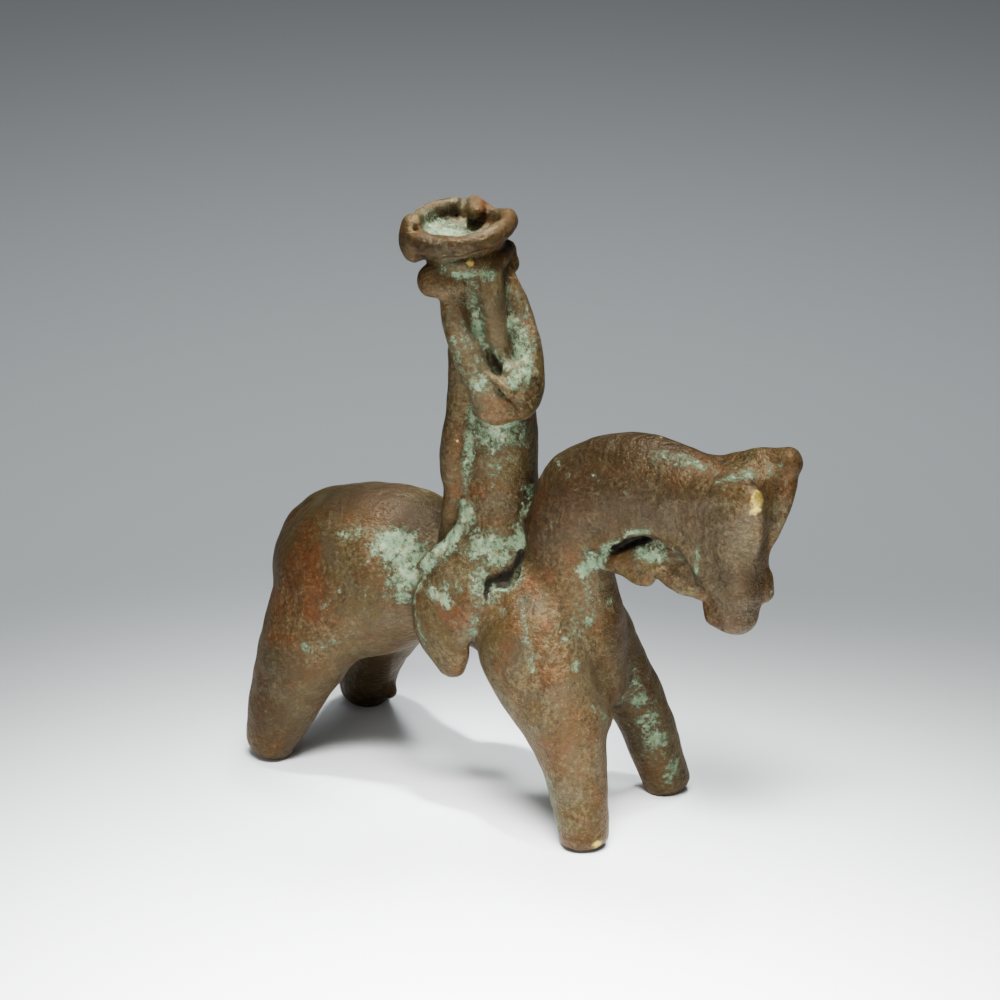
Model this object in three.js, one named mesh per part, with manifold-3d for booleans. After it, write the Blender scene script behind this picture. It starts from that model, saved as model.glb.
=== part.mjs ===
// A small horse and rider, cast in bronze in one piece, standing on the horse's four feet.
// It was first modelled in wax, from rolls and pinched strips pressed together, and it is built
// here in the same way: each roll follows a smooth line, and the rolls are joined into one solid.
//
// Frame: +X is the way the horse faces, +Y is its left side, +Z is up. The feet stand on Z = 0, and
// the origin lies on the ground below the middle of the figure.

import * as THREE from 'three';
import { mergeVertices } from 'three/addons/utils/BufferGeometryUtils.js';
import Module from 'manifold-3d';

const wasm = await Module();
wasm.setup();

// Driving sizes, in millimetres.
const FIGURE_HEIGHT = 56; // ground to the top of the rider's bowl-shaped head
const STANCE_LENGTH = 34.8; // hind foot to forefoot, middle to middle
const STANCE_WIDTH = 14.5; // left foot to right foot, middle to middle
const BOWL_ACROSS = 10.9; // over the rolled rim of the head
const BOWL_DEPTH = 2.2; // from the top of the rim to the floor of the hollow
const RIM_THICKNESS = 1.9; // the roll that makes the rim
const RIM_DROP = 0.6; // how much lower the rim is at the front right than at the back
const BAND_ACROSS = 8.3; // over the second band, below the rim
const BAND_THICKNESS = 1.45; // the roll that makes that band
const ARM_THICKNESS = 2.9; // the roll that makes an arm
const STRAP_THICKNESS = 1.3; // the flat strap from the chest to the jaw
const FOOT_FLAT = 0.45; // how much of each rounded foot end is worn away, so that it stands

// The pose and proportions below are in hundredths of the figure's height.
const PART = FIGURE_HEIGHT / 100;
const FOOT_X = STANCE_LENGTH / 2 / PART;
const FOOT_Y = STANCE_WIDTH / 2 / PART;
const WORN = FOOT_FLAT / PART;

// A foot is rounder than flat: its dome is this share of its radius.
const LEG_DOME = 0.6;

const ACROSS = new THREE.Vector3(0, 1, 0);
const UPRIGHT = new THREE.Vector3(0, 0, 1);
const STRAP_SIDE = new THREE.Vector3(0, 0.93, 0.37); // the strap's right edge is the lower one

// How fine the facets are, in hundredths of the height: a thick roll has larger ones.
const FACET = 2.6;
const FACET_GROWTH = 0.15;
const DOME_RINGS = 2;
const MIN_SIDES = 8;

// One ring of a roll: an ellipse square to the roll's line, its width along `side`.
function ring(centre, tangent, side, wide, deep, sides) {
  const across = side.clone().addScaledVector(tangent, -side.dot(tangent)).normalize();
  const up = new THREE.Vector3().crossVectors(tangent, across);
  return Array.from({ length: sides }, (_, i) => {
    const turn = (2 * Math.PI * i) / sides;
    return centre
      .clone()
      .addScaledVector(across, wide * Math.cos(turn))
      .addScaledVector(up, deep * Math.sin(turn));
  });
}

// A closed mesh over rings of equal count, with a point at each end or, for a hoop, joined round.
function skin(rings, firstTip, lastTip) {
  const sides = rings[0].length;
  const points = rings.flat();
  const faces = [];
  const at = (row, i) => (row % rings.length) * sides + (i % sides);
  const closed = !firstTip;
  const spans = closed ? rings.length : rings.length - 1;
  for (let row = 0; row < spans; row++)
    for (let i = 0; i < sides; i++) {
      faces.push(at(row, i), at(row, i + 1), at(row + 1, i + 1));
      faces.push(at(row, i), at(row + 1, i + 1), at(row + 1, i));
    }
  if (!closed) {
    const first = points.push(firstTip) - 1;
    const last = points.push(lastTip) - 1;
    const end = rings.length - 1;
    for (let i = 0; i < sides; i++) {
      faces.push(first, at(0, i + 1), at(0, i));
      faces.push(last, at(end, i), at(end, i + 1));
    }
  }
  const geometry = new THREE.BufferGeometry().setFromPoints(points);
  geometry.setIndex(faces);
  return geometry;
}

// A roll of wax along a smooth line. Each station is x, y, z, half its width along `side` and half
// its depth, in hundredths of the height. The ends are domes, as long as `dome` times their radius.
function roll(stations, { side = ACROSS, dome = 1, closed = false } = {}) {
  const line = new THREE.CatmullRomCurve3(
    stations.map(([x, y, z]) => new THREE.Vector3(x, y, z)), closed, 'catmullrom', 0.5);
  const size = new THREE.CatmullRomCurve3(
    stations.map(([, , , wide, deep]) => new THREE.Vector3(wide, deep, 0)), closed, 'catmullrom', 0.5);
  const widest = Math.max(...stations.map(([, , , wide, deep]) => (wide + deep) / 2));
  const facet = FACET + FACET_GROWTH * widest;
  const sides = Math.max(MIN_SIDES, 2 * Math.round((Math.PI * widest) / facet));
  const steps = Math.max(2, Math.ceil(line.getLength() / facet));
  const section = (t, along, scale) => {
    const s = size.getPoint(t);
    const tangent = line.getTangent(t);
    const centre = line.getPoint(t).addScaledVector(tangent, along);
    return ring(centre, tangent, side, s.x * scale, s.y * scale, sides);
  };
  const body = Array.from({ length: closed ? steps : steps + 1 }, (_, i) => section(i / steps, 0, 1));
  if (closed) return skin(body);
  const end = (t, way) => {
    const s = size.getPoint(t);
    const reach = way * dome * Math.min(s.x, s.y);
    const rings = Array.from({ length: DOME_RINGS }, (_, i) => {
      const turn = ((i + 1) / (DOME_RINGS + 1)) * (Math.PI / 2);
      return section(t, reach * Math.sin(turn), Math.cos(turn));
    });
    return { rings, tip: line.getPoint(t).addScaledVector(line.getTangent(t), reach) };
  };
  const first = end(0, -1);
  const last = end(1, 1);
  return skin([...first.rings.reverse(), ...body, ...last.rings], first.tip, last.tip);
}

// The same roll on the horse's other side.
const mirrored = (stations) => stations.map(([x, y, ...rest]) => [x, -y, ...rest]);

function solidOf(geometry) {
  geometry.deleteAttribute('normal');
  geometry.deleteAttribute('uv');
  const merged = mergeVertices(geometry);
  return new wasm.Manifold(new wasm.Mesh({
    numProp: 3,
    vertProperties: new Float32Array(merged.attributes.position.array),
    triVerts: new Uint32Array(merged.index.array),
  }));
}

const joined = (geometries) => geometries.map(solidOf).reduce((whole, next) => whole.add(next));

// The horse's barrel: a high round rump, a narrow waist under the rider, and the chest.
function barrel() {
  return [roll([
    [-26, 0, 30.2, 12.4, 13],
    [-21.5, 0, 31.2, 13.6, 14.8],
    [-14, 0, 33.8, 12.4, 13.8],
    [-6, 0, 34.8, 10.2, 11.6],
    [2, 0, 34.4, 10, 10.6],
    [11, 0, 33.8, 10, 10.8],
    [17, 0, 33.4, 8.2, 9.4],
  ])];
}

// The legs are tapering stubs without hooves, set wide apart. The left foreleg is the thinner one.
const FORELEG = [
  [13.4, -4.2, 36, 5.8, 7.6],
  [16, -6.6, 30.6, 7.8, 9.6],
  [19.4, -8, 25.2, 7.9, 9.5],
  [23.2, -9.3, 19.8, 7.1, 8],
  [26.2, -10.4, 14.2, 5.8, 6.1],
  [28.6, -11.6, 8, 4.6, 4.9],
  [FOOT_X - 0.8, -FOOT_Y + 0.7, 4.1 * LEG_DOME - WORN, 4.1, 4.1],
];
const LEFT_FORELEG = [
  [13.4, 4.2, 36, 5.6, 7.4],
  [17.4, 5.8, 29.6, 6.8, 8.6],
  [21.4, 7.6, 24, 6, 6.8],
  [25, 9.6, 18, 5, 5.3],
  [27.4, 11, 12.2, 4.4, 4.6],
  [FOOT_X - 0.7, FOOT_Y, 3.9 * LEG_DOME - WORN, 3.9, 3.9],
];
const HIND_LEG = [
  [-19.6, -4.2, 33, 7, 9.6],
  [-22.6, -6.8, 27, 8.4, 10.6],
  [-25.6, -9, 21.4, 8, 9.6],
  [-28.2, -10.8, 15.8, 6.9, 7.9],
  [-30.6, -12.2, 9.6, 5.5, 6],
  [-FOOT_X - 0.8, -FOOT_Y - 0.6, 4.4 * LEG_DOME - WORN, 4.4, 4.4],
];

function legs() {
  return [FORELEG, LEFT_FORELEG, HIND_LEG, mirrored(HIND_LEG)].map((leg) => roll(leg, { dome: LEG_DOME }));
}

// The neck rises from the chest in one thick roll, arches forward and runs into the head.
function neck() {
  return [roll([
    [22, 0, 24, 7.8, 7.2],
    [20, 0, 32.6, 7.6, 8.6],
    [18.8, 0, 41, 6.4, 8.2],
    [19, 0, 49, 6.2, 7.8],
    [22.4, 0, 56, 6.4, 8.8],
    [29, 0, 59.6, 6.6, 9.2],
    [36, 0, 61, 6.2, 8.8],
    [44, 0, 60.2, 5.6, 7.6],
    [48.6, 0, 55, 4.8, 6.8],
    [50.4, 0, 48.6, 4.2, 5.6],
    [51.4, 0, 43.4, 3.8, 4.2],
  ])];
}

// The head widens at the top into two long ears, laid forward. A ridge runs from each ear's tip
// down the face, so that the brow is a hollow between them.
const RIGHT_EAR = [
  [43, -3.4, 63.6, 2.2, 2.6],
  [50, -4.4, 66, 2.2, 2.6],
  [57.4, -5.7, 67.6, 1.8, 1.9],
];
const LEFT_EAR = [
  [43, 3.4, 64.2, 2.2, 2.6],
  [50, 4.4, 67.2, 2.2, 2.6],
  [57.6, 5.7, 69, 1.8, 1.9],
];
const FACE_RIDGE = [
  [57.3, -5.6, 67.2, 1.7, 1.9],
  [55.2, -4.4, 61, 1.8, 2.4],
  [53.6, -2.8, 54, 2, 2.6],
  [53.6, -1.9, 47.6, 2, 2.2],
];
const CHEEK = [
  [46, -2.9, 58.6, 2.4, 5.6],
  [50.4, -3.3, 58.4, 2.2, 7.2],
  [54, -4.3, 61.8, 2, 5],
  [56.6, -5.1, 65.6, 1.6, 2.4],
];
const CHEEK_SIDE = new THREE.Vector3(0, 0.96, 0.28); // the cheeks lean out towards the ears

function head() {
  const brow = roll([
    [43, 0, 63, 4.6, 3.4],
    [50, 0, 62.6, 5.2, 3],
    [54, 0, 61.6, 5.2, 2.6],
    [53.6, 0, 56, 4, 3],
    [52.4, 0, 50, 3.4, 3],
  ]);
  const chin = roll([
    [47.8, -0.8, 44, 2.3, 2],
    [48, -0.8, 42, 2.3, 1.9],
  ]);
  const nostril = roll([
    [55, 2.2, 48.6, 1.3, 1.3],
    [55.2, 2.4, 46, 1.3, 1.4],
  ]);
  const edges = [RIGHT_EAR, LEFT_EAR, FACE_RIDGE, mirrored(FACE_RIDGE)].map((edge) => roll(edge));
  const cheeks = [
    roll(CHEEK, { side: CHEEK_SIDE }),
    roll(mirrored(CHEEK), { side: CHEEK_SIDE.clone().setY(-CHEEK_SIDE.y) }),
  ];
  return [brow, chin, nostril, ...edges, ...cheeks];
}

// A flat strap from the throat to the jaw, with two strands of rein along its right edge.
function strap() {
  const thick = STRAP_THICKNESS / 2 / PART;
  const web = roll([
    [26, 0.6, 48, 3.6, thick],
    [32, 0.6, 49.2, 4.4, thick],
    [39, 0.4, 48.6, 4.4, thick],
    [46, 0, 45.6, 3.2, thick],
  ], { side: STRAP_SIDE });
  const upperRein = roll([
    [30, -3.4, 46.6, 1.2, 1.2],
    [36, -3.8, 46.8, 1.5, 1.3],
    [41, -3.6, 45.6, 1.6, 1.4],
    [46, -2.4, 44, 1.2, 1.1],
  ]);
  const lowerRein = roll([
    [27.4, -2.2, 46, 1.8, 1.6],
    [33, -4, 46, 1.2, 1.2],
    [37.5, -4.4, 45.6, 1.5, 1.5],
  ]);
  return [web, upperRein, lowerRein];
}

// The tail is a flat strip pressed down the back of the rump.
function tail() {
  return [roll([
    [-22, 0, 44.6, 2.6, 1.6],
    [-30, 0, 43, 2.8, 1.6],
    [-36, 0, 37.4, 2.8, 1.6],
    [-38, 0, 31, 2.4, 1.5],
  ])];
}

// The rider sits bolt upright: a plain column, with a thin roll down the back of each side.
function rider() {
  const torso = roll([
    [4, 0, 38, 7, 7],
    [5, 0, 46, 6.2, 6.4],
    [5.4, 0, 56, 5.9, 6.5],
    [5.4, 0, 66, 5.6, 6],
    [4, 0, 75, 5.4, 5],
    [2.4, 0, 82, 5.4, 4.8],
    [1.2, 0, 88, 5.2, 4.8],
    [0.6, 0, 92, 5.4, 5.2],
  ]);
  const SIDE_ROLL = [
    [-1.7, -5.4, 42, 1.7, 2.6],
    [-0.9, -5.3, 51, 1.7, 2.7],
    [-0.1, -5.2, 60.6, 2.1, 3.2],
    [0.7, -5, 68, 1.8, 2.6],
    [0.6, -4.6, 77, 1.8, 2.4],
  ];
  const LEG = [
    [4.4, -5.6, 45, 2.6, 5],
    [3.4, -8, 41, 3, 6.2],
    [2.7, -9.8, 36.6, 2.6, 6.2],
    [2.9, -10.8, 31.4, 2.2, 5],
    [3.5, -11.2, 27.4, 1.9, 3.2],
    [3.8, -11.2, 25.2, 1.7, 2],
  ];
  return [
    torso,
    roll(SIDE_ROLL),
    roll(mirrored(SIDE_ROLL)),
    roll(LEG),
    roll(mirrored(LEG)),
  ];
}

// Both arms come down from the collar in a long V. The rider's upper body is turned to its right,
// so the hands meet in front of the chest on that side.
function arms() {
  const half = ARM_THICKNESS / 2 / PART;
  const right = roll([
    [-2, -4, 87.6, half * 0.9, half * 0.9],
    [0.1, -5.4, 81.2, half, half],
    [2.8, -6.2, 77.4, half, half * 1.05],
    [5.2, -6.4, 74, half, half],
    [7.8, -6.2, 70.8, half, half],
    [10, -5.2, 69.6, half, half],
  ]);
  const left = roll([
    [3.4, 3.6, 88.4, half * 0.9, half * 0.9],
    [6.4, 3.6, 82.6, half, half],
    [9.4, 2.2, 78.2, half, half],
    [11.6, -0.4, 74.4, half, half],
    [12, -2.2, 71.6, half, half],
    [11.6, -3.8, 70.2, half, half],
  ]);
  return [right, left];
}

// The head is an open bowl with a thick rolled rim, whose end is turned into the hollow. A second
// band runs below the rim, and the neck has a lobe at each side.
const RIM_RADIUS = (BOWL_ACROSS - RIM_THICKNESS) / 2 / PART;
const RIM_HALF = RIM_THICKNESS / 2 / PART;
const RIM_SWELL = 0.14; // the rim is this much thicker than its mean at two sides, and thinner between
const RIM_STATIONS = 12;
const RIM_MIDDLE = [-2, 0];
const BAND_RADIUS = (BAND_ACROSS - BAND_THICKNESS) / 2 / PART;
const BAND_HALF = BAND_THICKNESS / 2 / PART;
const BAND_MIDDLE = [-0.9, 0, 93.9];

// The stations of a level hoop; `shape` gives the change in height and thickness at each turn.
function hoop([x, y, z], radius, half, shape = () => [0, 1]) {
  return Array.from({ length: RIM_STATIONS }, (_, i) => {
    const turn = (2 * Math.PI * i) / RIM_STATIONS;
    const [rise, swell] = shape(turn);
    return [x + radius * Math.cos(turn), y + radius * Math.sin(turn), z + rise, half * swell, half * swell];
  });
}

function rim() {
  const highest = 100 - RIM_HALF * (1 + RIM_SWELL);
  const lowerBy = (turn) => (RIM_DROP / PART / 2) * (1 + Math.cos(turn + 0.9));
  const shape = (turn) => [-lowerBy(turn), 1 + RIM_SWELL * Math.cos(2 * turn + 0.6)];
  return roll(hoop([...RIM_MIDDLE, highest], RIM_RADIUS, RIM_HALF, shape), { closed: true, side: UPRIGHT });
}

function bowl() {
  const floor = 100 - BOWL_DEPTH / PART;
  const hollowRadius = RIM_RADIUS - 0.6 * RIM_HALF;
  const cup = roll([
    [0.4, 0, 89, 5.6, 5.6],
    [-0.4, 0, 92, 6.6, 6.6],
    [-1.2, 0, 94.4, 6.9, 6.9],
    [-1.8, 0, 97, RIM_RADIUS, RIM_RADIUS],
    [...RIM_MIDDLE, 97.8, RIM_RADIUS, RIM_RADIUS],
  ], { dome: 0.02 });
  const hollow = roll([
    [...RIM_MIDDLE, floor + 1, hollowRadius, hollowRadius],
    [...RIM_MIDDLE, 104, hollowRadius, hollowRadius],
  ], { dome: 1 / hollowRadius });
  const coilEnd = roll([
    [-4.4, 7, 98.4, 1.4, 1.5],
    [-2, 3, 98.2, 1.5, 1.5],
    [0.4, -0.6, floor, 1.4, 1.4],
  ]);
  const band = roll(hoop(BAND_MIDDLE, BAND_RADIUS, BAND_HALF), { closed: true, side: UPRIGHT });
  const LOBES = [[-2.6, -6.9, 90], [2.8, 5.9, 91]];
  const lobes = LOBES.map(([x, y, z]) => roll([
    [x + 0.6, y * 0.7, z + 0.6, 2.4, 2.4],
    [x, y, z, 2.6, 2.7],
  ]));
  const lip = roll([
    [-8.2, -4.4, 98.2, 1.9, 2],
    [-8.6, -4.7, 94.6, 1.8, 2],
  ]);
  return joined([rim(), cup, band, lip, ...lobes]).subtract(solidOf(hollow)).add(solidOf(coilEnd));
}

// Everything below the ground is cut away, which leaves each rounded foot a flat to stand on.
function ground() {
  const wide = 3 * FIGURE_HEIGHT;
  return new THREE.BoxGeometry(wide, wide, wide).translate(0, 0, -wide / 2);
}

function figure() {
  const wax = joined([
    ...barrel(), ...legs(), ...neck(), ...head(), ...strap(), ...tail(), ...rider(), ...arms(),
  ]).add(bowl()).scale(PART);
  const standing = wax.subtract(solidOf(ground()));
  const { min, max } = standing.boundingBox();
  return standing.translate([-(min[0] + max[0]) / 2, -(min[1] + max[1]) / 2, 0]);
}

function geometryOf(solid) {
  const { vertProperties, triVerts } = solid.getMesh();
  const geometry = new THREE.BufferGeometry();
  geometry.setAttribute('position', new THREE.BufferAttribute(vertProperties, 3));
  geometry.setIndex(new THREE.BufferAttribute(triVerts, 1));
  geometry.computeVertexNormals();
  return geometry;
}

const bronze = new THREE.MeshStandardMaterial({ color: 0x6a4c35, roughness: 0.55, metalness: 0.8 });
const statuette = new THREE.Mesh(geometryOf(figure()), bronze);
statuette.name = 'horse_and_rider';

const group = new THREE.Group();
group.add(statuette);
export default group;
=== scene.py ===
# %% [markdown]
# # A cast horse and rider
#
# A bronze figure about as long as a thumb. A horse stands on four stubby legs, and an upright rider
# sits on it, whose head is an open bowl. Figures of this kind were modelled in wax and cast once:
# the wax was packed in clay, melted out, and bronze was poured in. So everything on it is a wax
# form, a roll, a strip or a pellet, pressed on with the fingers, and later worn and corroded.
#
# This notebook models it in the same order. The forms are pressed together in a block of space, the
# skin of the whole is drawn out as one mesh, and the metal gets its patina.
#
# Frame: +X is the way the horse faces, +Y is its left, +Z is up, and the feet stand on Z = 0.

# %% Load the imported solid
import math

import bpy
import numpy as np
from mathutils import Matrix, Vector


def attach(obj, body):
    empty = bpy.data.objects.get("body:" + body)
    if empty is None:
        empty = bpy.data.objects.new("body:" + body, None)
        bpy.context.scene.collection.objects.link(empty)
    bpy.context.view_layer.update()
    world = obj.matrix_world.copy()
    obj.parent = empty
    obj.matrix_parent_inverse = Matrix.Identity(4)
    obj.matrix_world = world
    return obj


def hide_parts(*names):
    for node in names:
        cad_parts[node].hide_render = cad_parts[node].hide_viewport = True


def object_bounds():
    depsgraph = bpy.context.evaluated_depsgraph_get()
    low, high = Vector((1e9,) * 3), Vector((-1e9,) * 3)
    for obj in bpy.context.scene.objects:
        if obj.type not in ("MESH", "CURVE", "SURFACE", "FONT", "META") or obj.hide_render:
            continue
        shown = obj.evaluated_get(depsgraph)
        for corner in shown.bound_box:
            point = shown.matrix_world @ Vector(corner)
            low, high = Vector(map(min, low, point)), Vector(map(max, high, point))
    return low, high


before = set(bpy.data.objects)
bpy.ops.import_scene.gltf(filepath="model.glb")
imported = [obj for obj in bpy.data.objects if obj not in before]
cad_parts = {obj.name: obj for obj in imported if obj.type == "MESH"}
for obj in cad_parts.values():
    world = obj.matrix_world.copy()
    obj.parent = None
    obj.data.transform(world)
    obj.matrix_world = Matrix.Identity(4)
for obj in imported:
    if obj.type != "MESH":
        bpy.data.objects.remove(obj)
cad_box = [list(corner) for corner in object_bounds()]
print("CAD box:", cad_box)

# %% [markdown]
# ## The camera
#
# It is fitted to the photograph, so that the figure's outline falls where the photograph has it. It
# could be placed by eye at the end, but every form is judged through it, so it comes first.

# %% Place the camera
CAMERA_TARGET = Vector((-0.00256, 0, 0.0287))
CAMERA_AZIMUTH = math.radians(34.0)
CAMERA_ELEVATION = math.radians(23.5)
CAMERA_DISTANCE = 0.515
CAMERA_LENS = 201.3

camera = bpy.data.objects.new("camera", bpy.data.cameras.new("camera"))
bpy.context.scene.collection.objects.link(camera)
towards_camera = Vector((
    math.sin(CAMERA_AZIMUTH) * math.cos(CAMERA_ELEVATION),
    -math.cos(CAMERA_AZIMUTH) * math.cos(CAMERA_ELEVATION),
    math.sin(CAMERA_ELEVATION),
))
camera.location = CAMERA_TARGET + towards_camera * CAMERA_DISTANCE
camera.rotation_mode = "QUATERNION"
camera.rotation_quaternion = towards_camera.to_track_quat("Z", "Y")
camera.data.lens = CAMERA_LENS
camera.data.sensor_width = 36
camera.data.clip_start = 0.01
camera.data.clip_end = 10
bpy.context.scene.camera = camera
print("camera at", [round(x, 4) for x in camera.location])

# %% [markdown]
# ## A block of space to model in
#
# Wax forms melt into each other where they are pressed. Separate meshes joined with booleans would
# keep hard seams, and a figure sculpted by hand couldn't be run again. So each point of a fine grid
# holds its distance to the wax, less than zero inside. Two forms are pressed together by taking the
# smaller distance, with the seam rounded over as a fingertip would.
#
# All lengths are in hundredths of the figure's height, as in the solid's own source, so the whole
# figure changes with one number. `MM` turns a length in millimetres into these. Heights start at
# the ground, and `STATION_ORIGIN` is where zero lies in the frame.

# %% Lay out the grid
HEIGHT = 0.056
UNIT = HEIGHT / 100
MM = 0.001 / UNIT
STATION_ORIGIN = np.array([-0.005569, 0, 0])
CELL = 0.48

GRID_LOW = np.array([-42.0, -20.5, -1.6])
GRID_HIGH = np.array([61.5, 20.5, 102.5])
AXES = [np.arange(low, high, CELL, dtype=np.float32) for low, high in zip(GRID_LOW, GRID_HIGH)]
GRID_SHAPE = tuple(len(axis) for axis in AXES)
print("grid", GRID_SHAPE, "cell", round(CELL * UNIT * 1000, 3), "mm")


def window(low, high):
    """The part of the grid between two corners, as three slices."""
    return tuple(
        slice(max(0, int((a - g) // CELL)), min(n, int((b - g) // CELL) + 2))
        for a, b, g, n in zip(low, high, GRID_LOW, GRID_SHAPE)
    )


# %% [markdown]
# ## Rolls
#
# The one form that everything is made from, rolled out under the fingers. A smooth line runs through
# a few stations, each with its place, half its width along `side` and half its depth, and the ends
# are rounded. Blender's curves with a bevel make such rolls too, but as a mesh and not as distances.
# The line is the same curve that the solid is built on, so a form lies where the solid has it.

# %% Draw a smooth line through stations
STEP = 0.9


def smooth_line(stations, closed):
    """Points close together on the curve through the stations."""
    p = np.array(stations, float)
    if closed:
        p = np.vstack([p[-1], p, p[0], p[1]])
    else:
        p = np.vstack([2 * p[0] - p[1], p, 2 * p[-1] - p[-2]])
    spans = len(p) - 3
    length = np.linalg.norm(np.diff(p[1:-1, :3], axis=0), axis=1).sum()
    count = max(2 * spans, int(length / STEP)) + 1
    t = np.linspace(0, spans, count)
    i = np.minimum(t.astype(int), spans - 1)
    u = (t - i)[:, None]
    a, b, c, d = p[i], p[i + 1], p[i + 2], p[i + 3]
    bend = (2 * a - 5 * b + 4 * c - d) * u**2 + (3 * b - a - 3 * c + d) * u**3
    return 0.5 * (2 * b + (c - a) * u + bend)


# %% Make a roll as a field of distances
ACROSS = (0, 1, 0)
REACH = 5.0
FAR = 12.0
THINNEST = 0.15
TINY = 1e-6


def egg(parts):
    """About the distance to an egg, from how far out each point lies along its three half sizes."""
    outward = np.sqrt(sum((reach / size) ** 2 for reach, size in parts)) + TINY
    slope = np.sqrt(sum((reach / size**2) ** 2 for reach, size in parts)) + TINY
    return outward * (outward - 1) / slope


def roll(stations, side=ACROSS, dome=1.0, closed=False):
    """A roll's window of the grid, and the distance to it there, with its ends flattened by `dome`."""
    line = smooth_line(stations, closed)
    centre, half = line[:, :3], np.maximum(line[:, 3:5], THINNEST)
    if closed:
        tangent = np.roll(centre[:-1], -1, 0) - np.roll(centre[:-1], 1, 0)
        tangent = np.vstack([tangent, tangent[:1]])
    else:
        tangent = np.gradient(centre, axis=0)
    tangent /= np.linalg.norm(tangent, axis=1, keepdims=True)
    side = np.array(side, float)
    across = side - tangent * (tangent @ side)[:, None]
    across /= np.linalg.norm(across, axis=1, keepdims=True)
    up = np.cross(tangent, across)
    big = half.max() + REACH
    place = window(centre.min(0) - big, centre.max(0) + big)
    distance = np.full([s.stop - s.start for s in place], FAR, np.float32)
    for i in range(len(centre) - 1):
        a, b = centre[i], centre[i + 1]
        margin = half[i : i + 2].max() + REACH
        part = window(np.minimum(a, b) - margin, np.maximum(a, b) + margin)
        x, y, z = (AXES[k][part[k]] - a[k] for k in range(3))
        x, y, z = x[:, None, None], y[None, :, None], z[None, None, :]
        along = b - a
        h = np.clip((x * along[0] + y * along[1] + z * along[2]) / (along @ along), 0, 1)
        x, y, z = x - h * along[0], y - h * along[1], z - h * along[2]
        wide = half[i, 0] + h * (half[i + 1, 0] - half[i, 0])
        deep = half[i, 1] + h * (half[i + 1, 1] - half[i, 1])
        parts = []
        for axes, size in ((across, wide), (up, deep), (tangent, np.minimum(wide, deep))):
            change = axes[i + 1] - axes[i]
            reach = x * axes[i, 0] + y * axes[i, 1] + z * axes[i, 2]
            reach = reach + h * (x * change[0] + y * change[1] + z * change[2])
            parts.append((reach, size))
        inner = tuple(slice(p.start - q.start, p.stop - q.start) for p, q in zip(part, place))
        np.minimum(distance[inner], egg(parts), out=distance[inner])
    if dome < 1 and not closed:
        for end, outward in ((0, -1), (-1, 1)):
            x, y, z = (AXES[k][place[k]] - centre[end, k] for k in range(3))
            x, y, z = x[:, None, None], y[None, :, None], z[None, None, :]
            sizes = (*half[end], dome * half[end].min())
            axes = (across[end], up[end], outward * tangent[end])
            parts = [(x * a[0] + y * a[1] + z * a[2], size) for a, size in zip(axes, sizes)]
            beyond = parts[2][0] > 0
            np.copyto(distance, np.maximum(distance, egg(parts)), where=beyond)
    return place, distance


# %% Press, cut, mirror and weigh


def press(wax, form, seam):
    """Press a form onto the wax, with the seam rounded over this far."""
    place, distance = form
    old = wax[place]
    h = np.maximum(seam - np.abs(old - distance), 0) / seam
    wax[place] = np.minimum(old, distance) - h * h * seam / 4


def cut(wax, form, seam):
    """Cut a form out of the wax, with the lip rounded over this far."""
    place, distance = form
    old = wax[place]
    h = np.maximum(seam - np.abs(old + distance), 0) / seam
    wax[place] = np.maximum(old, -distance) + h * h * seam / 4


def mirrored(stations):
    """The same stations on the other side."""
    return [(x, -y, *rest) for x, y, *rest in stations]


def weigh(part):
    """Say how much wax there is with this part on it."""
    volume = float((wax < 0).sum()) * (CELL * UNIT * 100) ** 3
    print(round(volume, 3), "cm3 of wax with", part)


wax = np.full(GRID_SHAPE, FAR, np.float32)

# %% [markdown]
# ## The horse
#
# The barrel is one roll with a high rump and a narrow waist. The legs are tapering stubs, pushed on
# wide apart and smeared well into the body, and their ends are worn flat. The neck is the thickest
# roll of all: it climbs from the chest, arches forward and is drawn down into the face. The horse
# could be carved from one block, but rolls give it the soft creases at its shoulders and haunches.

# %% Model the barrel
BARREL = [
    (-26, 0, 30.2, 12.4, 13.4),
    (-21.5, 0, 32, 13.6, 14.6),
    (-14, 0, 34.9, 12.4, 13.2),
    (-6, 0, 34.9, 10.2, 9.4),
    (2, 0, 35, 10, 10),
    (11, 0, 33.8, 10, 10.8),
    (17, 0, 33.4, 8.2, 9.4),
]
press(wax, roll(BARREL), seam=1.0)
weigh("the barrel")

# %% Model the forelegs
STANCE_LENGTH = 34.8 * MM
STANCE_WIDTH = 14.5 * MM
FOOT_X = STANCE_LENGTH / 2
FOOT_Y = STANCE_WIDTH / 2
WORN = 0.45 * MM
FORE_DOME = 0.6
LEG_SEAM = 2.6

RIGHT_FORELEG = [
    (13.4, -4.2, 36, 5.8, 7.6),
    (16, -6.6, 30.6, 7.8, 9.6),
    (20, -8, 25.4, 7.7, 8.9),
    (24.1, -9.3, 20.1, 6.9, 7.1),
    (26.8, -10.3, 14.4, 5.8, 5.5),
    (28.8, -11.5, 8, 4.75, 4.8),
    (FOOT_X - 0.8, -FOOT_Y + 0.7, 4.1 * FORE_DOME - WORN, 4.1, 4.1),
]
LEFT_FORELEG = [
    (13.4, 4.2, 36, 5.6, 7.4),
    (17.4, 5.8, 29.6, 6.8, 8.6),
    (21.4, 7.6, 24, 6, 6.8),
    (25, 9.6, 18, 5, 5.3),
    (27.4, 11, 12.2, 4.4, 4.6),
    (FOOT_X - 0.7, FOOT_Y, 3.9 * FORE_DOME - WORN, 3.9, 3.9),
]
for leg in (RIGHT_FORELEG, LEFT_FORELEG):
    press(wax, roll(leg, dome=FORE_DOME), LEG_SEAM)
weigh("the forelegs")

# %% Model the hind legs, a web and a lump on the heel
HIND_DOME = 0.9

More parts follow.
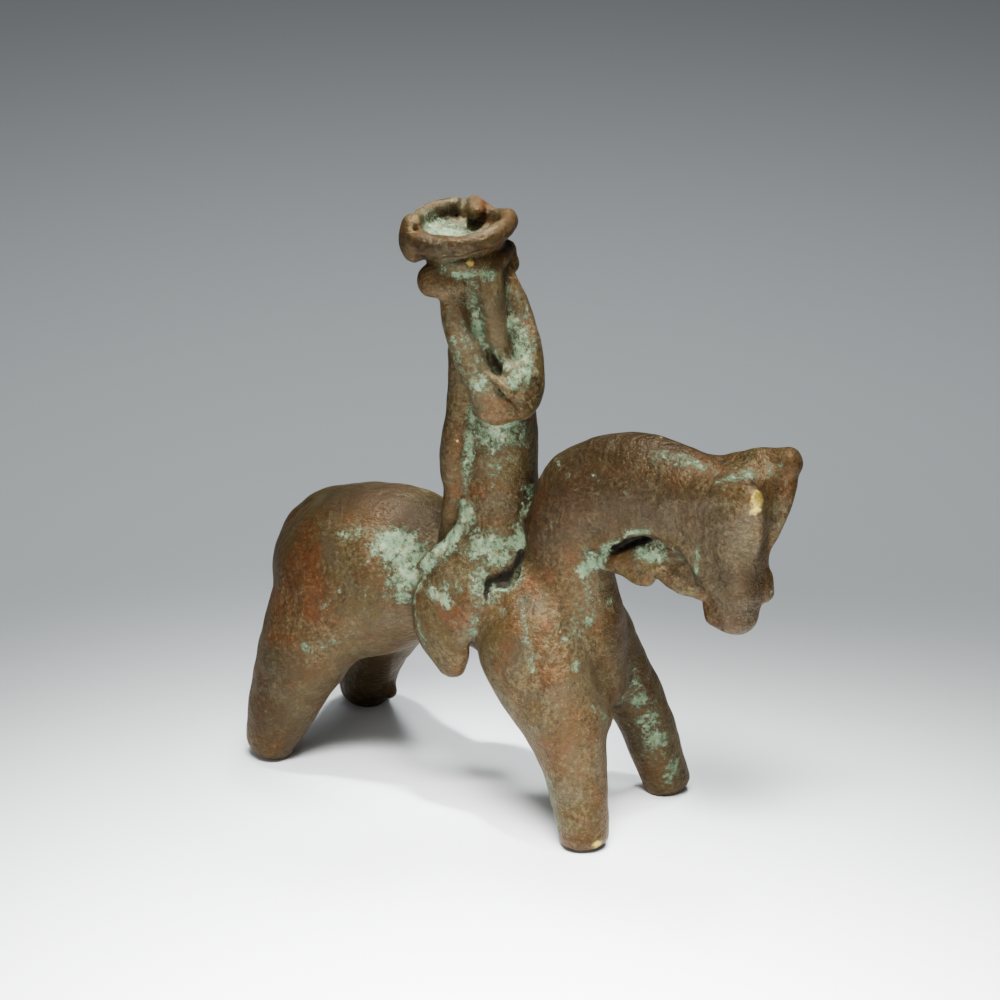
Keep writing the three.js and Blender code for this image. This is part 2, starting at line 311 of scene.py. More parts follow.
RIGHT_HIND_LEG = [
    (-20.4, -4.2, 33.6, 7, 8.8),
    (-23.8, -6.8, 27.8, 8.4, 9.4),
    (-26.6, -9.1, 21.9, 8, 8.5),
    (-28.7, -10.8, 16, 6.9, 7.3),
    (-30.7, -12.2, 9.6, 5.5, 5.9),
    (-FOOT_X - 1, -FOOT_Y - 0.7, 4.3 * HIND_DOME - WORN, 4.2, 4.3),
]
LEFT_HIND_LEG = [
    (-19.6, 4.2, 33, 7, 9.6),
    (-22.6, 6.8, 27, 8.4, 10.6),
    (-25.4, 9, 21.4, 8, 9.6),
    (-27.8, 10.8, 15.8, 6.9, 7.9),
    (-30, 12.2, 9.6, 5.5, 6.2),
    (-FOOT_X, FOOT_Y - 0.2, 4.6 * HIND_DOME - WORN, 4.8, 4.7),
]
FORELEG_WEB = [(26, -4.6, 21.8, 3.4, 3.4), (28, -5.2, 19.4, 2.2, 2.6)]
HEEL_LUMP = [(-27.2, 12.4, 4.2, 2, 2), (-25.9, 12.2, 3.4, 1.3, 1.4)]
for leg in (RIGHT_HIND_LEG, LEFT_HIND_LEG):
    press(wax, roll(leg, dome=HIND_DOME), LEG_SEAM)
press(wax, roll(FORELEG_WEB), LEG_SEAM)
press(wax, roll(HEEL_LUMP), seam=0.6)
weigh("the hind legs")

# %% Model the neck
NECK = [
    (22, 0, 24, 7.8, 7.2),
    (20, 0, 32.6, 7.6, 8.6),
    (18.8, 0, 41, 6.4, 8.2),
    (19.2, 0, 49, 6.2, 7.6),
    (22.6, 0, 55.8, 6.4, 8.5),
    (29, 0, 59.2, 6.6, 8.9),
    (36, 0, 60.6, 6.2, 8.5),
    (44, 0, 60, 5.6, 7.4),
    (48.6, 0, 55, 4.8, 6.6),
    (50.2, 0, 48.6, 4.2, 5.4),
    (50.9, 0, 42.4, 3.6, 3.9),
]
press(wax, roll(NECK), seam=2.2)
weigh("the neck")

# %% [markdown]
# The head widens into two ears laid forward. A ridge runs from each ear's tip down the face, with a
# hollow between them, and pellets make the chin and the left nostril. Thin rolls alone would leave
# gaps, so the brow, the jaw and the throat are filled first and the ridges pressed on top.

# %% Fill the brow, the jaw and the throat
BROW = [
    (38, 0, 63.8, 4.2, 3.4),
    (43, 0.1, 64.4, 4.8, 3.3),
    (48, 0.2, 64.2, 5.2, 3.2),
    (52.4, 0.4, 64.4, 5, 3),
    (54, 0.3, 61.2, 4.4, 3),
    (53, 0, 55.4, 3.8, 2.8),
    (52.4, 0, 50, 3.4, 3),
]
EAR_WEB = [
    (49, 2, 65.4, 3, 2.2),
    (53.2, 2.6, 66.4, 2.8, 2.2),
    (55, 3, 66.2, 2.1, 2),
    (54.2, 2.7, 63, 1.9, 2),
]
JAW = [
    (38, 0, 57.5, 4.4, 3.4),
    (41, 0, 55.7, 4.4, 3.1),
    (43.8, 0, 53.7, 4.3, 3.1),
    (46.5, 0, 50.4, 4.2, 3),
    (48.8, 0, 48, 4, 2.8),
]
THROAT = [
    (27.4, -1.8, 50.2, 2.6, 2.4),
    (31, -1.8, 54, 2.8, 2.4),
    (35, -1.6, 56.6, 3, 2.6),
    (40, -1.2, 57, 3, 2.6),
]
for fill in (BROW, EAR_WEB, JAW, THROAT):
    press(wax, roll(fill), seam=1.8)
weigh("the brow and the jaw")

# %% Press on the cheeks
CHEEK_LEAN = (0.96, 0.28)
CHEEK = [
    (46, -2.9, 58.6, 2.4, 5.6),
    (50.4, -3.3, 58.4, 2.2, 7.2),
    (54, -4.3, 61.8, 2, 5),
    (56.8, -5, 65.4, 1.4, 2.4),
]
for cheek, sign in ((CHEEK, 1), (mirrored(CHEEK), -1)):
    press(wax, roll(cheek, side=(0, sign * CHEEK_LEAN[0], CHEEK_LEAN[1])), seam=1.6)
weigh("the cheeks")

# %% Press on the ears, the face, the chin and a nostril
RIGHT_EAR = [
    (41, -3.6, 61.6, 2, 2.2),
    (46, -4.2, 63.6, 1.9, 2.1),
    (51, -4.6, 65.2, 1.7, 1.8),
    (55.4, -5, 66.2, 1.4, 1.5),
    (57.4, -5.4, 66.6, 1.1, 1.2),
]
LEFT_EAR = [
    (42, 3.4, 63, 2, 2.2),
    (47, 4.2, 65.6, 2, 2.2),
    (52, 4.8, 67.8, 2, 2.2),
    (57.2, 5.5, 69, 1.8, 1.8),
]
RIGHT_FACE = [
    (56.2, -5, 65.6, 1.9, 2),
    (54, -4, 61, 2.2, 2.6),
    (52.4, -2.8, 55, 2.4, 2.8),
    (53, -1.8, 47.6, 2.2, 2.4),
]
LEFT_FACE = [
    (57.2, 5.4, 68, 1.8, 1.9),
    (53.9, 4.1, 61.8, 1.7, 2.1),
    (52.1, 2.4, 55, 1.9, 2.2),
    (53.2, 1.9, 47.6, 2, 2.2),
]
CHIN = [(47.8, -0.8, 44, 2.3, 2), (48, -0.8, 42, 2.3, 1.9)]
NOSTRIL = [(54.8, 2, 49, 1.6, 1.6), (55, 2.2, 46.2, 1.5, 1.6)]
for ridge in (RIGHT_EAR, LEFT_EAR, RIGHT_FACE, LEFT_FACE):
    press(wax, roll(ridge), seam=1.5)
press(wax, roll(CHIN), seam=0.9)
press(wax, roll(NOSTRIL), seam=0.7)
weigh("the face")

# %% [markdown]
# A flat strap of wax runs from the chest to the jaw, with two thin reins smeared along its edge. The
# tail is a strip laid on the rump. Cut from a sheet they would look too crisp, so they are flattened
# rolls too.

# %% Press on the strap, the reins and the tail
STRAP_HALF = 1.3 / 2 * MM
STRAP_LEAN = (0, 0.93, 0.37)
STRAP = [
    (25.5, 0.2, 48, 3.6, STRAP_HALF),
    (29, 0.2, 49.6, 4, STRAP_HALF * 1.1),
    (33, 0, 50.8, 4.2, STRAP_HALF * 1.2),
    (39, 0, 50.2, 4.2, STRAP_HALF * 1.2),
    (46, 0, 46.6, 3.2, STRAP_HALF),
]
LEFT_WEB = [
    (26.6, 2.4, 48.6, 1.8, 1.8),
    (30, 2.6, 51.2, 1.8, 1.8),
    (34, 2.6, 53.6, 1.8, 1.8),
    (38, 2.4, 54, 1.8, 1.8),
]
JAW_WEB = [
    (34.6, -0.8, 50.4, 2.6, 1),
    (37.6, -0.6, 51.2, 3.1, 1.7),
    (41, -0.6, 50.4, 3.2, 2),
    (45.6, -0.5, 47.6, 2.9, 1.9),
]
UPPER_REIN = [
    (30, -3.6, 48.2, 1, 1),
    (35, -4, 48.8, 1.2, 1.1),
    (39, -3.9, 48.2, 1.3, 1.1),
    (42.4, -3.7, 46.8, 1.6, 1.4),
    (46.6, -2.8, 45.8, 1.3, 1.2),
]
LOWER_REIN = [
    (27.4, -2.2, 46.8, 1.7, 1.6),
    (32, -3.8, 47, 1.1, 1.2),
    (35, -4.3, 46.6, 1.2, 1.2),
    (37, -4.4, 46.8, 1.4, 1.3),
]
TAIL = [
    (-22, 0, 44.6, 2.6, 1.6),
    (-30, 0, 43, 2.8, 1.6),
    (-36, 0, 37.4, 2.8, 1.6),
    (-38, 0, 31, 2.4, 1.5),
]
press(wax, roll(STRAP, side=STRAP_LEAN), seam=0.6)
for web in (JAW_WEB, LEFT_WEB):
    press(wax, roll(web), seam=1.2)
for rein in (UPPER_REIN, LOWER_REIN):
    press(wax, roll(rein), seam=0.5)
press(wax, roll(TAIL), seam=1.0)
weigh("the strap and the tail")

# %% [markdown]
# ## The rider
#
# A plain column with a thin roll down the back of each side. The upper body is turned to the rider's
# right. Two long arms hang from the collar in a V and meet in front of the chest. A leg lies over
# each flank like a flap, and ends in a heel. A flap could be cut from a thin sheet, but a roll that
# is narrow across and deep along keeps the round edges that fingers leave.

# %% Model the rider's body and legs
TORSO = [
    (4, 0, 38, 7, 7),
    (5, 0, 46, 6.2, 6.4),
    (5.4, 0, 56, 5.9, 6.5),
    (5.4, 0, 66, 5.6, 6),
    (4, 0, 75, 5.4, 5),
    (2.4, 0, 82, 5.4, 4.8),
    (1.2, 0, 88, 5.2, 4.8),
    (0.6, 0, 92, 5.4, 5.2),
]
SIDE_ROLL = [
    (-1.4, -6.2, 42.6, 1.2, 1.3),
    (-1, -6, 45.8, 1.3, 1.4),
    (-0.3, -5.8, 49.8, 1.4, 1.5),
    (0, -5.5, 54, 1.6, 1.8),
    (-0.1, -5.4, 57.6, 2.1, 2.3),
    (0.3, -5.2, 62.5, 2.4, 2.7),
    (0.5, -4.7, 67.4, 2, 2.2),
    (0.4, -4.4, 74, 1.9, 2),
    (0.4, -4.4, 78.5, 1.6, 1.8),
]
RIDER_LEG = [
    (4.2, -6.2, 44.6, 2.4, 5),
    (2.9, -8.6, 41, 2.6, 6),
    (2, -9.9, 36.6, 2.4, 6.3),
    (1.4, -10.5, 33.4, 2.2, 6.3),
    (1.6, -10.8, 30, 2, 5.6),
    (2.4, -10.9, 27.4, 1.8, 4.4),
    (3, -10.9, 24.2, 1.5, 2.5),
]
press(wax, roll(TORSO), seam=1.2)
for strip in (SIDE_ROLL, mirrored(SIDE_ROLL)):
    press(wax, roll(strip), seam=0.7)
for leg in (RIDER_LEG, mirrored(RIDER_LEG)):
    press(wax, roll(leg), seam=0.7)
weigh("the rider's body")

# %% Model the rider's arms
ARM_HALF = 2.9 / 2 * MM
RIGHT_ARM = [
    (-0.2, -5.2, 89, ARM_HALF * 0.85, ARM_HALF * 0.85),
    (0.4, -5.7, 85.8, ARM_HALF * 0.95, ARM_HALF * 0.9),
    (1.8, -6.3, 82.4, ARM_HALF, ARM_HALF * 0.95),
    (3.7, -6.7, 78.8, ARM_HALF * 1.05, ARM_HALF),
    (5.9, -6.6, 74.6, ARM_HALF * 1.1, ARM_HALF),
    (8, -6.1, 71.4, ARM_HALF * 1.25, ARM_HALF * 1.2),
    (9.4, -5.5, 70.8, ARM_HALF * 1.2, ARM_HALF * 1.15),
    (10.6, -4.7, 71, ARM_HALF * 0.9, ARM_HALF * 0.95),
]
LEFT_ARM = [
    (4.3, 2.6, 89.3, ARM_HALF * 0.85, ARM_HALF * 0.85),
    (7, 2.5, 84, ARM_HALF * 0.95, ARM_HALF * 0.95),
    (9.6, 1.3, 79.2, ARM_HALF, ARM_HALF),
    (11.5, -0.5, 74.9, ARM_HALF, ARM_HALF),
    (12, -1.9, 72.2, ARM_HALF, ARM_HALF),
    (11.5, -3.2, 70.8, ARM_HALF * 0.95, ARM_HALF * 0.95),
]
for arm in (RIGHT_ARM, LEFT_ARM):
    press(wax, roll(arm), seam=0.5)
weigh("the arms")

# %% [markdown]
# A thin strip runs down the chest between the arms. The left hand is a knob studded with small
# pellets. They could be strewn at random, but turning by the golden angle from each to the next
# spreads them evenly. Where the rider sits, more wax was pressed in from the front, and a ragged
# ridge shows where the leg was folded down.

# %% Add the strip and the hands
FACING_SIDE = (0.62, 0.79, 0)
CHEST_STRIP = [
    (4.2, -2, 92, 2.4, 2.4),
    (5.2, -2.6, 88.5, 2.4, 2.2),
    (6.2, -3, 84.7, 2.1, 2),
    (7.4, -3.4, 80.6, 1.6, 1.7),
    (8.6, -3.6, 77.6, 1.1, 1.4),
]
THUMB = [(7, -6.6, 76.8, 0.6, 0.6), (9.6, -6.9, 75.6, 0.8, 0.8), (12, -7, 74.2, 0.7, 0.7)]
HAND = (10.9, -3.2, 75.2, 2.9)
HAND_STUDS = 16
STUD_RADIUS = 0.8
STUD_SPREAD = 1.35
STUD_GROWTH = 0.2
GOLDEN_ANGLE = 2.4
PELLET_LENGTH = 0.2


def pellet(x, y, z, radius):
    """A small ball of wax."""
    return roll([(x, y, z, radius, radius), (x, y, z - PELLET_LENGTH, radius, radius)])


def studs(x, y, z, radius, count):
    """Small pellets spread over the front of a ball, each a golden angle on from the last."""
    forward = np.array([FACING_SIDE[1], -FACING_SIDE[0], 0])
    for i in range(count):
        lean = STUD_SPREAD * math.sqrt((i + 0.5) / count)
        turn = GOLDEN_ANGLE * i
        out = math.cos(lean) * forward + math.sin(lean) * (
            math.cos(turn) * np.array(FACING_SIDE) + math.sin(turn) * np.array([0, 0, 1])
        )
        yield (*(np.array([x, y, z]) + radius * out), STUD_RADIUS + STUD_GROWTH * (i % 3))


press(wax, roll(CHEST_STRIP, side=FACING_SIDE), seam=0.5)
press(wax, roll(THUMB), seam=0.3)
press(wax, pellet(*HAND), seam=0.6)
for ball in studs(*HAND, HAND_STUDS):
    press(wax, pellet(*ball), seam=0.15)
weigh("the strip and the hands")

# %% Add the seat and its ridge
SHOULDER_LEAN = (0, 0.8, 0.6)
HIP_FILL = [(2, -4, 58, 1.6, 1.6), (2, -4.2, 50, 1.8, 1.8), (1.6, -4.4, 43, 1.8, 1.8)]
SEAT = [
    (5.6, -0.4, 54, 5.4, 5.6),
    (6.2, -1, 49, 5.4, 5.7),
    (6.8, -1.5, 44.5, 5.2, 5.6),
    (7, -1.6, 42, 5, 5.4),
]
SEAT_LUMP = [(7.2, -8.2, 41.6, 1.6, 1.8), (7.6, -8.6, 39.4, 1.7, 1.8)]
SHOULDER_FILL = [
    (7.6, -8.4, 36.4, 2.8, 3.2),
    (11.4, -6.2, 38.6, 3.2, 3.4),
    (14.2, -3, 40.8, 3.2, 3.2),
]
RIDGE = [
    (2.6, -5.9, 52.6, 0.9, 0.9),
    (2.9, -6.7, 50.6, 1.1, 1.1),
    (3.1, -7.5, 48.6, 1, 1),
    (2.2, -8.4, 46.9, 1.3, 1.3),
    (0.9, -9.3, 45.3, 1.1, 1.1),
    (-0.4, -9.9, 43.9, 1.35, 1.3),
    (-2, -10.1, 42.2, 1, 1.05),
    (-3.8, -10.1, 40.6, 0.9, 0.9),
]

press(wax, roll(HIP_FILL), seam=0.8)
press(wax, roll(SHOULDER_FILL, side=SHOULDER_LEAN), seam=4)
press(wax, roll(SEAT, side=FACING_SIDE, dome=0.4), seam=1.2)
press(wax, roll(SEAT_LUMP), seam=0.6)
press(wax, roll(RIDGE), seam=0.8)
weigh("the seat")

# %% [markdown]
# The head is an open bowl. A thick roll makes its rim, with the end turned into the hollow, and a
# thinner band runs below. A lobe at each side stands for an ear. The bowl could be turned as one
# smooth shape, but the real one is a bent roll, so its rim is uneven and has a groove and a notch.

# %% Model the bowl, its rim and its band
UPRIGHT = (0, 0, 1)
BAND_HALF = 1.5 / 2 * MM
BAND_RADIUS = 3.45 * MM
BAND_MIDDLE = (-1, -0.2)
HOOP_STATIONS = 12
HOLLOW_MIDDLE = (-2.1, -0.4)


def hoop(x, y, z, radius, half, lower):
    """The stations of a hoop that hangs this much lower towards the front."""
    stations = []
    for i in range(HOOP_STATIONS):
        turn = 2 * math.pi * i / HOOP_STATIONS
        drop = lower / 2 * (1 + math.cos(turn))
        stations.append((x + radius * math.cos(turn), y + radius * math.sin(turn), z - drop, half, half))
    return stations


RIM = [
    (4.9, -0.5, 98.2, 1.7, 1.7),
    (4.3, 3.2, 98.2, 1.8, 1.75),
    (2.6, 6.2, 98.1, 1.7, 1.7),
    (-0.8, 6.8, 98, 1.5, 1.5),
    (-4.4, 7, 98.4, 1.6, 1.6),
    (-7.4, 5.2, 98.4, 1.55, 1.6),
    (-9, 1.8, 98.3, 1.5, 1.6),
    (-9, -1.8, 98.1, 1.6, 1.7),
    (-7.8, -5, 97.5, 1.7, 1.8),
    (-5.4, -7.2, 96.8, 1.5, 1.6),
    (-2.2, -7.9, 96.5, 1.5, 1.6),
    (0.6, -7.5, 97, 1.6, 1.6),
    (2.8, -6.2, 97.6, 1.6, 1.65),
    (4.3, -3.6, 98, 1.6, 1.65),
]
CUP = [
    (0.4, 0, 89, 5.2, 5.2),
    (-0.2, 0, 92, 5.4, 5.4),
    (-1, -0.2, 94.4, 5.8, 5.8),
    (-1.8, -0.4, 96.2, 7, 7),
    (*HOLLOW_MIDDLE, 97.8, 7.6, 7.6),
]
press(wax, roll(CUP, dome=0.1), seam=0.8)
band = hoop(*BAND_MIDDLE, 94.6, BAND_RADIUS, BAND_HALF, lower=1.2)
for ring in (band, RIM):
    press(wax, roll(ring, side=UPRIGHT, closed=True), seam=0.5)
weigh("the bowl")

# %% Press on the lobes and the lip
RIGHT_LOBE = [(1, -5.2, 90.2, 1.6, 2), (-1.2, -6.2, 90.3, 2.4, 2.6), (-3.2, -7, 90.3, 2.6, 2.8)]
LEFT_LOBE = [(3, 5, 93, 1.9, 2.2), (3.2, 5, 90.8, 2.1, 2.3)]
LIP = [
    (-8.2, -4.6, 98, 2, 2.2),
    (-8.4, -5, 95.6, 2.1, 2.3),
    (-7.8, -5.2, 93.4, 1.7, 1.9),
]
for lobe in (LIP, RIGHT_LOBE, LEFT_LOBE):
    press(wax, roll(lobe), seam=0.6)
weigh("the lobes")

# %% Hollow the bowl and notch its rim
BOWL_FLOOR = 100 - 2.2 * MM
HOLLOW_RADIUS = 6.3
LIP_GROOVE = [
    (-6.9, -6.4, 98.4, 0.3, 0.9),
    (-6.2, -6.6, 95.6, 0.35, 1),
    (-6, -6.4, 92.6, 0.3, 0.9),
]
HOLLOW = [
    (*HOLLOW_MIDDLE, BOWL_FLOOR + 0.4, 4.2, 4.2),
    (*HOLLOW_MIDDLE, BOWL_FLOOR + 1.4, 5.2, 5.2),
    (*HOLLOW_MIDDLE, BOWL_FLOOR + 2.6, HOLLOW_RADIUS, HOLLOW_RADIUS),
    (*HOLLOW_MIDDLE, 104, HOLLOW_RADIUS, HOLLOW_RADIUS),
]
COIL_END = [
    (-4.8, 7.4, 98.8, 1.6, 1.6),
    (-3.6, 6, 99, 1.7, 1.7),
    (-2.4, 4.6, 98.9, 1.7, 1.6),
]
RIM_GROOVE = [
    (-4.6, -8.7, 96.4, 0.25, 0.5),
    (-1.6, -9.4, 96.1, 0.35, 0.7),
    (1.4, -8.9, 96.6, 0.35, 0.7),
    (4, -7, 97.3, 0.25, 0.5),
]
NOTCH = [(-7, 8, 101.2, 0.9, 0.8), (-5.8, 6, 99.4, 0.6, 0.6), (-4.6, 4.4, 98.4, 0.5, 0.5)]

cut(wax, roll(LIP_GROOVE, side=FACING_SIDE), seam=0.5)
cut(wax, roll(HOLLOW, dome=0.3), seam=0.8)
press(wax, roll(COIL_END), seam=0.5)
cut(wax, roll(NOTCH), seam=0.4)
cut(wax, roll(RIM_GROOVE, side=UPRIGHT), seam=0.5)
weigh("the hollow cut out")

# %% [markdown]
# ## The crack and the grooves
#
# The seat's wax never quite closed against the horse, so a ragged crack is left in front of it, with
# a small spot below. A slit stays open above the strap, and shallow grooves run down the rider's side
# and behind the jaw. Black paint would do for one view only, so they are real hollows; painted shade
# is laid in the crack and the slit as well, further on. They are cut before the roughening, so that
# their lips are as worn as the rest.

# %% Cut the crack, the slit and the grooves
CRACK_LEAN = (-0.86, 0.39, 0.29)
CRACK = [
    (12.6, -4.9, 45.4, 0.4, 1.4),
    (12.8, -5.8, 44.3, 0.6, 1.9),
    (12.7, -7, 43, 1.2, 2.4),
    (12.2, -7.9, 42.2, 1.8, 2.6),
    (11.4, -8.2, 42, 1.5, 2.4),
    (10.6, -8.7, 41.8, 0.8, 1.9),
    (9.9, -9.4, 41.2, 1.3, 2.1),
    (9.7, -10.1, 40.5, 0.8, 1.8),
]
CRACK_SPOT = [(10.2, -11.2, 38.8, 0.55, 0.55), (9.4, -10.2, 39.2, 0.5, 0.5)]
SIDE_GROOVE = [
    (3.4, -6, 71, 0.25, 0.5),
    (3.3, -6.1, 65.2, 0.45, 0.9),
    (3, -6.3, 58.1, 0.45, 0.9),
    (2.7, -6.9, 54, 0.3, 0.6),
]
THROAT_SLIT = [
    (29.6, -3.8, 48.8, 0.4, 0.9),
    (31, -3.6, 50.2, 0.55, 1.5),
    (33, -3.4, 51.6, 0.65, 2.2),
    (35.6, -3.2, 53, 0.6, 2.2),
    (37, -3.2, 53.4, 0.3, 1.2),
]
JAW_GROOVE = [
    (47.2, -5.4, 56.6, 0.3, 0.4),
    (47.2, -5.2, 53, 0.5, 0.6),
    (47.8, -5, 50, 0.4, 0.5),
]
cut(wax, roll(CRACK, side=CRACK_LEAN), seam=0.3)
cut(wax, roll(SIDE_GROOVE), seam=0.5)
cut(wax, roll(CRACK_SPOT), seam=0.4)
cut(wax, roll(THROAT_SLIT, side=UPRIGHT), seam=0.4)
cut(wax, roll(JAW_GROOVE), seam=0.8)
weigh("the crack and the grooves")

# %% [markdown]
# ## The maker's hand, and the casting skin
#
# Wax never comes out smooth. Broad dents come from fingers, finer ones from a spatula, and the clay
# mould leaves pits and a fine grain. A displacement modifier could move the finished mesh, but steep
# dents would fold it. So each is a soft random field added to the distances, and it is stronger at
# the few rugged places, where wax was crammed in or corrosion has eaten the metal.

# %% Helpers for soft fields
SEED = 11
NOISE_GAIN = 2.2


def soft_noise(spacing, seed):
    """A smooth random field over the grid, mostly between -1 and 1, with lumps this far apart."""
    draw = np.random.default_rng(seed)
    shape = [int(n * CELL / spacing) + 4 for n in GRID_SHAPE]
    field = draw.uniform(-1, 1, shape).astype(np.float32)
    for axis, n in enumerate(GRID_SHAPE):
        place = np.arange(n) * CELL / spacing + 1
        i = place.astype(int)
        u = (place - i)[:, None]
        middle = [3 * u**3 - 6 * u**2 + 4, -3 * u**3 + 3 * u**2 + 3 * u + 1]
        weights = np.hstack([(1 - u) ** 3, *middle, u**3]) / 6
        blend = np.zeros((n, shape[axis]), np.float32)
        for k in range(4):
            np.add.at(blend, (np.arange(n), np.minimum(i - 1 + k, shape[axis] - 1)), weights[:, k])
        field = np.moveaxis(np.tensordot(blend, field, axes=(1, axis)), 0, axis)
    return field * NOISE_GAIN


def blurred(field, sigma):
    """The field, softened by this many cells."""
    taps = int(3 * sigma + 0.5)
    weights = np.exp(-(np.arange(-taps, taps + 1) ** 2) / (2 * sigma**2))
    weights /= weights.sum()
    for axis in range(3):
        padded = np.pad(field, [(taps, taps) if k == axis else (0, 0) for k in range(3)], mode="edge")
        total = np.zeros_like(field)
        for k, weight in enumerate(weights):
            part = [slice(None)] * 3
            part[axis] = slice(k, k + field.shape[axis])
            total += np.float32(weight) * padded[tuple(part)]
        field = total
    return field


def near(smears, x, y, z):
    """How near points are to any of the smears, from 1 on its middle line to 0 at its radius."""
    best = np.zeros(np.broadcast(x, y, z).shape, np.float32)
    for smear in smears:
        for a, b in zip(smear, smear[1:] or smear):
            along = np.subtract(b[:3], a[:3])
            u, v, w = x - a[0], y - a[1], z - a[2]
            h = np.clip((u * along[0] + v * along[1] + w * along[2]) / (along @ along + 1e-9), 0, 1)
            away = (u - h * along[0]) ** 2 + (v - h * along[1]) ** 2 + (w - h * along[2]) ** 2
            np.maximum(best, 1 - away / (a[3] + h * (b[3] - a[3])) ** 2, out=best)
    return best


# %% Roughen the wax
RUGGED = [
    [(9, -6, 45, 5.5)],
    [(4, -9.5, 42, 5)],
    [(3.5, -12, 34, 5)],
    [(12, -9.5, 39, 4)],
    [(33, -4, 49, 6)],
    [(43, -3.5, 47.5, 4)],
    [(27, -6, 40, 5)],
    [(1.5, -8, 95.5, 4.5)],
    [(9, -4.5, 88, 3)],
    [(11, -6, 75, 4)],
    [(7, -7.5, 62, 5)],
    [(-7, 5, 97, 3)],
    [(4, -4, 98.4, 4)],
    [(-4, -7, 97, 4)],
    [(2, 6.4, 98.6, 4)],
    [(-12, -12, 40, 7)],
    [(24, 9, 24, 8)],
]
GROWTH = 0.02
SOFTENING = 0.6
LUMP_DEPTHS = ((7, 0.14), (3.2, 0.16), (1.6, 0.14))
RUGGED_DEPTH = 0.34
RUGGED_SPACING = 1.8
PIT_DEPTH = 0.5
PIT_SPACING = 2
PIT_START = 0.75

wax = blurred(wax, SOFTENING) - GROWTH
for number, (spacing, depth) in enumerate(LUMP_DEPTHS):
    wax += depth * soft_noise(spacing, SEED + number)
wax += PIT_DEPTH * np.maximum(soft_noise(PIT_SPACING, SEED + 5) - PIT_START, 0)
rugged = near(RUGGED, AXES[0][:, None, None], AXES[1][None, :, None], AXES[2][None, None, :])
wax += RUGGED_DEPTH * rugged * soft_noise(RUGGED_SPACING, SEED + 6)
# nothing reaches below the ground
np.maximum(wax, -AXES[2][None, None, :], out=wax)
weigh("its skin roughened")

# %% [markdown]
# ## From distances to a skin
#
# Each small cube that the surface passes through gets one point, at the mean of the places where the
# surface crosses its edges, and neighbouring cubes are joined by a four-sided face. Blender's own
# remesh needs a mesh to start from, and this draws one straight from the distances.

# %% Draw out the skin
CORNERS = [(i, j, k) for i in (0, 1) for j in (0, 1) for k in (0, 1)]


def skin_of(field):
    """The points, in grid cells, and the faces of the surface where the field is zero."""
    inside = field < 0
    shape = [n - 1 for n in field.shape]
    full = np.zeros(shape, np.int8)
    for i, j, k in CORNERS:
        full += inside[i : i + shape[0], j : j + shape[1], k : k + shape[2]]
    cells = np.argwhere((full > 0) & (full < 8))
    number = np.full(shape, -1, np.int32)
    number[tuple(cells.T)] = np.arange(len(cells))
    total, count = np.zeros((len(cells), 3)), np.zeros(len(cells))
    value = {c: field[tuple((cells + c).T)].astype(float) for c in CORNERS}
    for first in CORNERS:
        for axis in range(3):
            if first[axis]:
                continue
            second = tuple(1 if k == axis else v for k, v in enumerate(first))
            a, b = value[first], value[second]
            crossed = (a < 0) != (b < 0)
            share = a[crossed] / (a[crossed] - b[crossed])
            total[crossed] += np.array(first) + share[:, None] * (np.array(second) - first)
            count[crossed] += 1
    points = cells + total / count[:, None]
    faces = []
    for axis in range(3):
        one, two = [k for k in range(3) if k != axis]
        low = [slice(1, n) for n in shape]
        low[axis] = slice(0, shape[axis])
        high = list(low)
        high[axis] = slice(1, shape[axis] + 1)
        a, b = inside[tuple(low)], inside[tuple(high)]
        for leaving in (True, False):
            edge = np.argwhere(a & ~b if leaving else ~a & b)
            edge[:, one] += 1
            edge[:, two] += 1
            steps = [(0, 0), (-1, 0), (-1, -1), (0, -1)]
            if leaving == (axis == 1):
                steps.reverse()
            quad = []
            for p, q in steps:
                cell = edge.copy()
                cell[:, one] += p
                cell[:, two] += q
                quad.append(number[tuple(cell.T)])
            faces.append(np.stack(quad, 1))
    return points, np.vstack(faces)


points, faces = skin_of(wax)
print(len(points), "points,", len(faces), "faces")

# %% Make the figure's mesh
low, high = (np.array(corner) for corner in cad_box)
places = STATION_ORIGIN + UNIT * (GRID_LOW + CELL * points)
print("below the CAD box before trimming, mm:", 1000 * (low - places.min(0)))
print("above it, mm:", 1000 * (places.max(0) - high))
# the skin stands out of the solid's box by up to 0.3 mm in places, so it is trimmed back to it
places = np.clip(places, low, high)

mesh = bpy.data.meshes.new("horse_and_rider_cast")
mesh.vertices.add(len(places))
mesh.vertices.foreach_set("co", places.astype(np.float32).ravel())
mesh.loops.add(4 * len(faces))
mesh.loops.foreach_set("vertex_index", faces.astype(np.int32).ravel())
mesh.polygons.add(len(faces))
mesh.polygons.foreach_set("loop_start", np.arange(0, 4 * len(faces), 4, dtype=np.int32))
mesh.update(calc_edges=True)
mesh.validate()
mesh.shade_smooth()
figure = bpy.data.objects.new("horse_and_rider_cast", mesh)
bpy.context.scene.collection.objects.link(figure)
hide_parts("horse_and_rider")
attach(figure, "root")
